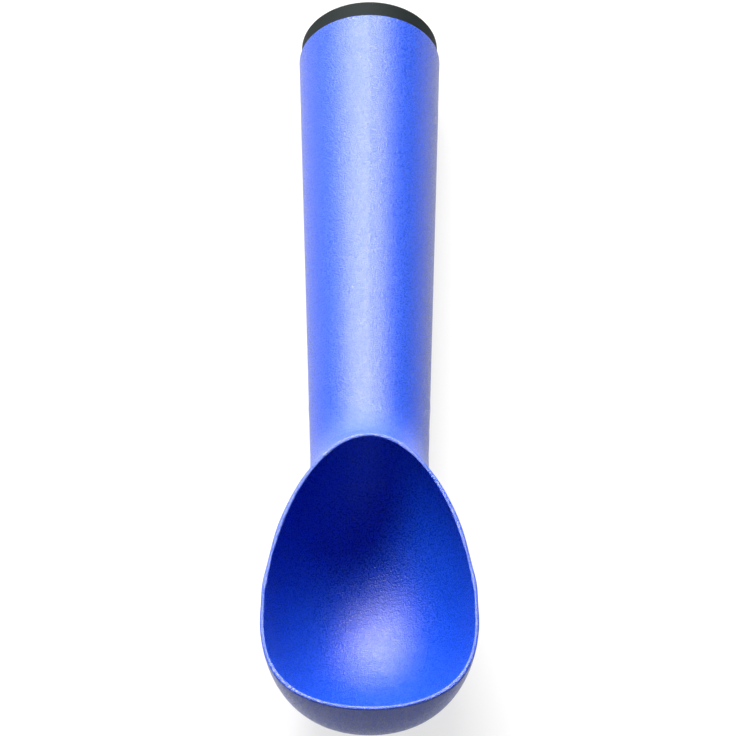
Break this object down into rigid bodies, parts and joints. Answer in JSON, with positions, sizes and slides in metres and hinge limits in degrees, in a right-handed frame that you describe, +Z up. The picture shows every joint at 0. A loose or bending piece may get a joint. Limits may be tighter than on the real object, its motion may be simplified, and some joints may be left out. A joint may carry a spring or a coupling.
{
  "type": "ice cream scoop",
  "caption": "One-piece cast ice cream dipper with a deep oval bowl, a rimmed arch at the neck and a tapered hollow handle, filled with liquid and closed by a black end cap.",
  "frame": {"origin": "on the resting plane, midway between the lip and the end of the cap, under the handle's axis", "axes": "+Y runs from the bowl along the handle to the capped end, +Z is up out of the bowl's mouth, +X is across the bowl"},
  "size_m": [0.0446, 0.192, 0.0352],
  "materials": {
    "blue_coat": "satin",
    "cap_black": "satin",
    "seal_rubber": "matte",
    "fluid": "gloss"
  },
  "bodies": {
    "root": {"scoop_body": "blue_coat", "end_cap": "cap_black", "seal_ring": "seal_rubber", "heat_transfer_fluid": "fluid"}
  },
  "joints": []
}
